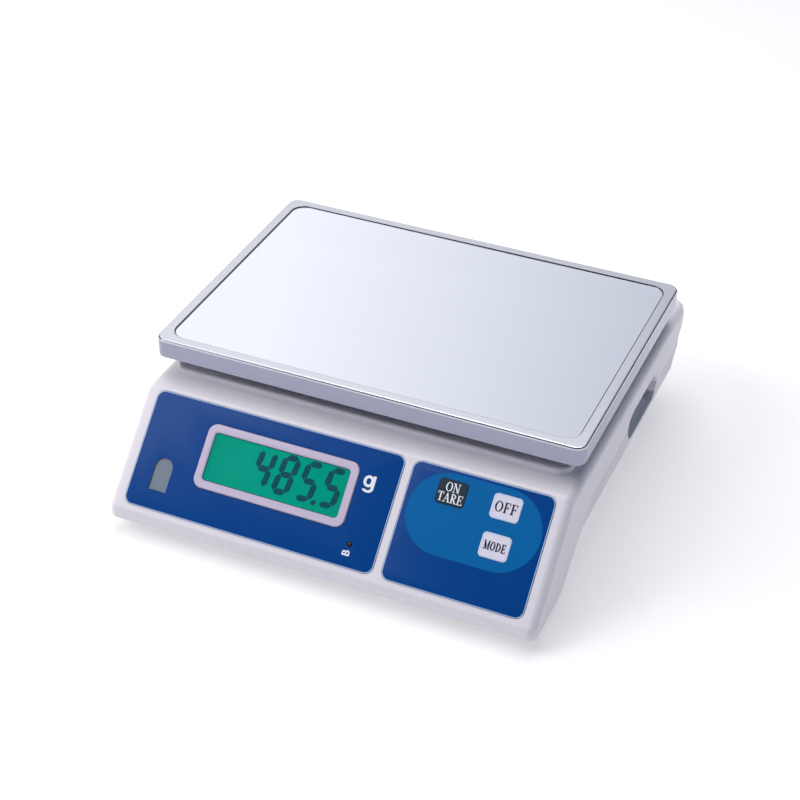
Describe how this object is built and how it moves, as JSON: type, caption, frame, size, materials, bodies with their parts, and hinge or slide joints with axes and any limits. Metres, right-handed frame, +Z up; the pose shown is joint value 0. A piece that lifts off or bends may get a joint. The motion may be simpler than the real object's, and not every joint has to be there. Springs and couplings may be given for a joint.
{
  "type": "counting scale",
  "caption": "Bench counting scale: steel weighing pan on a load cell, sloped front with a green display and a key panel, and levelling feet.",
  "frame": {"origin": "on the table under the centre of the scale", "axes": "+Z up, -Y towards the operator (the sloped panel faces -Y), +X to the operator's right"},
  "size_m": [0.28, 0.296, 0.1],
  "materials": {
    "white_plastic": "satin moulded",
    "grey_plastic": "satin",
    "bezel_plastic": "silver-lilac satin",
    "mirror_steel": "polished stainless steel",
    "zinc_steel": "zinc plated",
    "cast_aluminium": "as cast or milled",
    "rubber": "matt",
    "blue_film": "printed film, satin",
    "key_white": "satin",
    "key_dark": "satin",
    "clear_lens": "clear",
    "lcd_green": "lit liquid-crystal glass",
    "board_green": "solder resist",
    "black_plastic": "moulded",
    "battery_grey": "moulded",
    "level_green": "tinted clear",
    "led_red": "tinted clear"
  },
  "bodies": {
    "housing": {"top_housing": "white_plastic", "bottom_housing": "white_plastic", "chassis_plate": "zinc_steel", "load_cell": "cast_aluminium", "load_cell_riser": "cast_aluminium", "cell_screw_1": "zinc_steel", "cell_screw_2": "zinc_steel", "overload_stop": "zinc_steel", "stop_lock_nut": "zinc_steel", "housing_screw_front_left": "zinc_steel", "housing_screw_front_right": "zinc_steel", "housing_screw_rear_left": "zinc_steel", "housing_screw_rear_right": "zinc_steel", "display_overlay": "blue_film", "key_overlay": "blue_film", "display_bezel": "bezel_plastic", "display_window": "clear_lens", "lcd_glass": "lcd_green", "backlight": "key_white", "display_board": "board_green", "charge_lamp": "led_red", "keypad_board": "board_green", "switch_on_tare": "black_plastic", "switch_off": "black_plastic", "switch_mode": "black_plastic", "level_window": "clear_lens", "level_cup": "white_plastic", "level_vial": "level_green", "battery": "battery_grey", "battery_strap": "zinc_steel", "charger_inlet": "black_plastic", "inlet_retainer": "grey_plastic", "main_board": "board_green", "load_cell_cable": "grey_plastic", "battery_lead": "black_plastic"},
    "platform": {"pan_carrier": "cast_aluminium", "carrier_post": "cast_aluminium", "carrier_screw_1": "zinc_steel", "carrier_screw_2": "zinc_steel", "pan_cushion_1": "rubber", "pan_cushion_2": "rubber", "pan_cushion_3": "rubber", "pan_cushion_4": "rubber"},
    "pan": {"weighing_pan": "mirror_steel"},
    "key_on_tare_body": {"key_on_tare": "key_dark", "plunger_on_tare": "black_plastic"},
    "key_off_body": {"key_off": "key_white", "plunger_off": "black_plastic"},
    "key_mode_body": {"key_mode": "key_white", "plunger_mode": "black_plastic"},
    "pad_front_left": {"foot_pad_front_left": "rubber"},
    "stud_front_left": {"foot_front_left": "black_plastic"},
    "pad_front_right": {"foot_pad_front_right": "rubber"},
    "stud_front_right": {"foot_front_right": "black_plastic"},
    "pad_rear_left": {"foot_pad_rear_left": "rubber"},
    "stud_rear_left": {"foot_rear_left": "black_plastic"},
    "pad_rear_right": {"foot_pad_rear_right": "rubber"},
    "stud_rear_right": {"foot_rear_right": "black_plastic"}
  },
  "joints": [
    {"name": "platform_sink", "type": "slide", "parent": "housing", "child": "platform", "axis": [0, 0, -1], "range_m": [0, 0.0004], "stiffness_N_per_m": 150000, "springref_m": -0.00009, "deforming": ["load_cell"]},
    {"name": "pan_lift", "type": "slide", "parent": "platform", "child": "pan", "axis": [0, 0, 1], "range_m": [0, 0.03]},
    {"name": "key_on_tare_press", "type": "slide", "parent": "housing", "child": "key_on_tare_body", "axis": [0, 0.6997, -0.7145], "range_m": [0, 0.0006], "stiffness_N_per_m": 3500, "springref_m": -0.00002},
    {"name": "key_off_press", "type": "slide", "parent": "housing", "child": "key_off_body", "axis": [0, 0.6997, -0.7145], "range_m": [0, 0.0006], "stiffness_N_per_m": 3500, "springref_m": -0.00002},
    {"name": "key_mode_press", "type": "slide", "parent": "housing", "child": "key_mode_body", "axis": [0, 0.6997, -0.7145], "range_m": [0, 0.0006], "stiffness_N_per_m": 3500, "springref_m": -0.00002},
    {"name": "front_left_foot_travel", "type": "slide", "parent": "housing", "child": "pad_front_left", "axis": [0, 0, -1], "range_m": [-0.0026, 0.0039]},
    {"name": "front_left_foot_turn", "type": "hinge", "parent": "pad_front_left", "child": "stud_front_left", "pos_m": [-0.105, -0.105, 0.006], "axis": [0, 0, -1], "range_deg": [-720, 1080]},
    {"name": "front_right_foot_travel", "type": "slide", "parent": "housing", "child": "pad_front_right", "axis": [0, 0, -1], "range_m": [-0.0026, 0.0039]},
    {"name": "front_right_foot_turn", "type": "hinge", "parent": "pad_front_right", "child": "stud_front_right", "pos_m": [0.105, -0.105, 0.006], "axis": [0, 0, -1], "range_deg": [-720, 1080]},
    {"name": "rear_left_foot_travel", "type": "slide", "parent": "housing", "child": "pad_rear_left", "axis": [0, 0, -1], "range_m": [-0.0026, 0.0039]},
    {"name": "rear_left_foot_turn", "type": "hinge", "parent": "pad_rear_left", "child": "stud_rear_left", "pos_m": [-0.105, 0.093, 0.006], "axis": [0, 0, -1], "range_deg": [-720, 1080]},
    {"name": "rear_right_foot_travel", "type": "slide", "parent": "housing", "child": "pad_rear_right", "axis": [0, 0, -1], "range_m": [-0.0026, 0.0039]},
    {"name": "rear_right_foot_turn", "type": "hinge", "parent": "pad_rear_right", "child": "stud_rear_right", "pos_m": [0.105, 0.093, 0.006], "axis": [0, 0, -1], "range_deg": [-720, 1080]}
  ],
  "couplings": [
    {"joint": "front_left_foot_travel", "follows": "front_left_foot_turn", "m_per_rad": 0.00019894},
    {"joint": "front_right_foot_travel", "follows": "front_right_foot_turn", "m_per_rad": 0.00019894},
    {"joint": "rear_left_foot_travel", "follows": "rear_left_foot_turn", "m_per_rad": 0.00019894},
    {"joint": "rear_right_foot_travel", "follows": "rear_right_foot_turn", "m_per_rad": 0.00019894}
  ]
}
